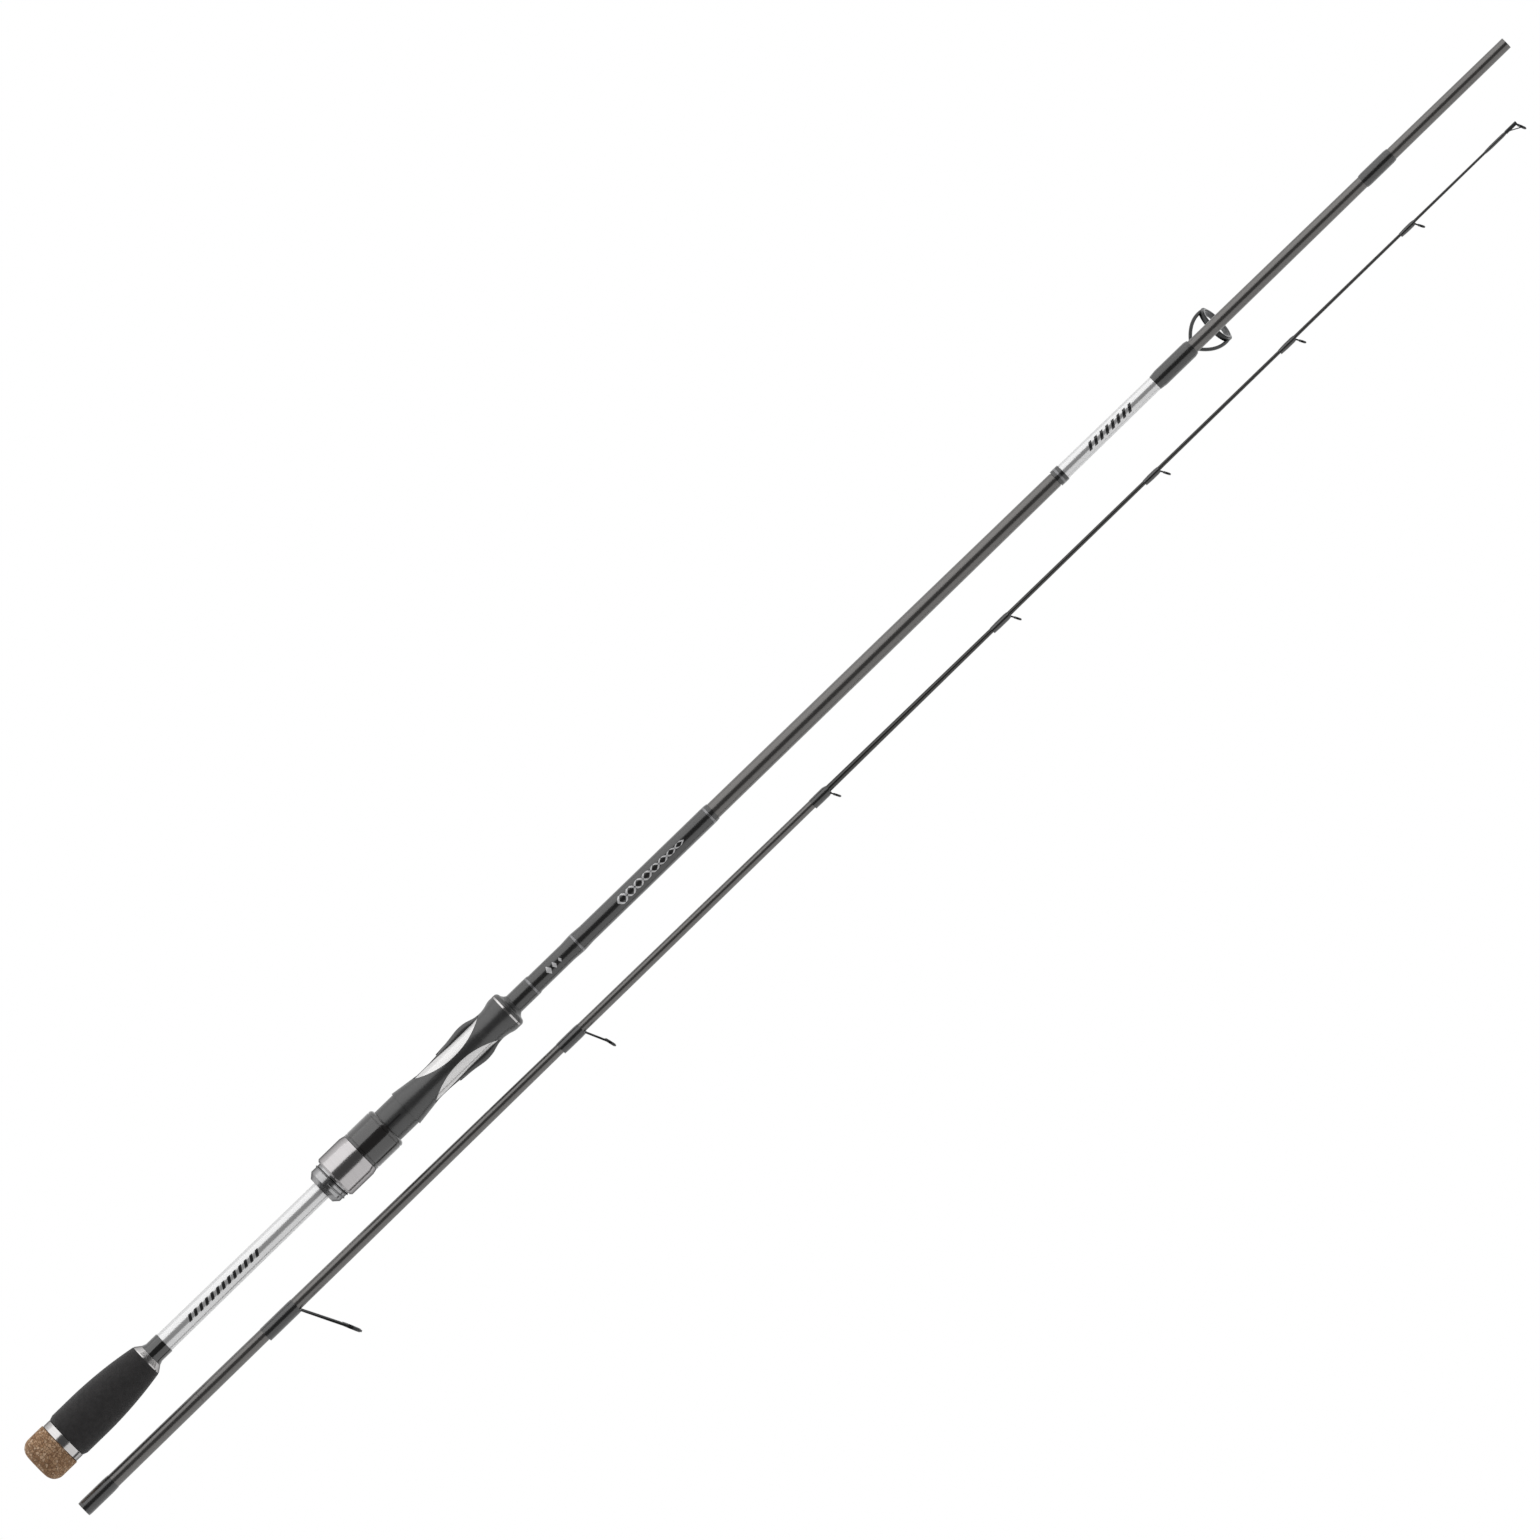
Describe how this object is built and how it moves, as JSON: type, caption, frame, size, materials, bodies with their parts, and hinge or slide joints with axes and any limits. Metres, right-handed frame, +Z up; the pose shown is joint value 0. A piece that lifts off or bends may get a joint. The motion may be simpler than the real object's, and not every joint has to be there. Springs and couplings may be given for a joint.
{
  "type": "spinning rod",
  "caption": "Take-apart spinning rod with a screw-locking reel seat, a short foam grip, ring guides and a slip-on joint, its two sections lying side by side.",
  "frame": {"origin": "centre of the butt cap's flat rear end", "axes": "+X along the butt section from butt to tip, +Z up in use, away from the reel and the stripper guide, +Y away from the tip section, which lies beside the butt section towards -Y"},
  "size_m": [1.0394, 0.079, 0.0568],
  "materials": {
    "blank": "gloss",
    "blank_dark": "gloss",
    "cork": "matte",
    "foam": "matte",
    "ring_metal": "gloss",
    "trumpet": "gloss",
    "white_sleeve": "gloss",
    "thread_metal": "satin",
    "nut_metal": "satin",
    "seat": "satin",
    "core": "gloss",
    "arbor": "matte",
    "hood": "gloss",
    "wrap": "gloss",
    "trim_band": "gloss",
    "guide_frame": "gloss",
    "guide_ring": "gloss"
  },
  "bodies": {
    "butt": {"butt_blank": "blank", "cork_butt_cap": "cork", "rear_winding_ring": "ring_metal", "rear_grip_foam": "foam", "front_winding_ring": "ring_metal", "grip_trumpet": "trumpet", "handle_sleeve": "white_sleeve", "threaded_sleeve": "thread_metal", "seat_body": "seat", "seat_core": "core", "rear_seat_arbor": "arbor", "front_seat_arbor": "arbor", "nose_trim_ring": "ring_metal", "nose_cap": "seat", "handle_wrap_1": "wrap", "handle_wrap_2": "wrap", "handle_wrap_3": "wrap", "handle_wrap_4": "wrap", "trim_band_1": "trim_band", "trim_band_2": "trim_band", "trim_band_3": "trim_band", "forward_trim_wrap": "wrap", "forward_sleeve": "white_sleeve", "butt_joint_wrap": "wrap", "stripper_wrap": "wrap", "stripper_frame": "guide_frame", "stripper_ring": "guide_ring"},
    "hood": {"moving_hood": "hood"},
    "nut": {"lock_nut": "nut_metal"},
    "carrier": {"socket_lip": "wrap"},
    "joint_wrap": {"socket_wrap": "wrap"},
    "tip": {"socket_tube": "blank", "tip_blank": "blank", "solid_tip": "blank_dark", "guide_1_wrap": "wrap", "guide_1_frame": "guide_frame", "guide_1_ring": "guide_ring", "guide_2_wrap": "wrap", "guide_2_frame": "guide_frame", "guide_2_ring": "guide_ring", "guide_3_wrap": "wrap", "guide_3_frame": "guide_frame", "guide_3_ring": "guide_ring", "guide_4_wrap": "wrap", "guide_4_frame": "guide_frame", "guide_4_ring": "guide_ring", "guide_5_wrap": "wrap", "guide_5_frame": "guide_frame", "guide_5_ring": "guide_ring", "guide_6_wrap": "wrap", "guide_6_frame": "guide_frame", "guide_6_ring": "guide_ring", "guide_7_wrap": "wrap", "guide_7_frame": "guide_frame", "guide_7_ring": "guide_ring", "tip_top_wrap": "wrap", "tip_top_frame": "guide_frame", "tip_top_ring": "guide_ring"}
  },
  "joints": [
    {"name": "hood_slide", "type": "slide", "parent": "butt", "child": "hood", "axis": [1, 0, 0], "range_m": [-0.0085, 0.0115]},
    {"name": "nut_spin", "type": "hinge", "parent": "hood", "child": "nut", "pos_m": [0.2198, 0, 0], "axis": [1, 0, 0], "range_deg": [-1220, 1650]},
    {"name": "tip_carry", "type": "slide", "parent": "butt", "child": "carrier", "axis": [0.9997, 0.0226, 0], "range_m": [0, 1.43537]},
    {"name": "tip_push", "type": "slide", "parent": "carrier", "child": "joint_wrap", "axis": [1, 0, 0], "range_m": [-0.4726, 0]},
    {"name": "tip_roll", "type": "hinge", "parent": "joint_wrap", "child": "tip", "pos_m": [0.012, -0.0325, 0], "axis": [1, 0, 0], "range_deg": [-90, 90]}
  ],
  "couplings": [
    {"joint": "hood_slide", "follows": "nut_spin", "m_per_rad": 0.00039789}
  ]
}
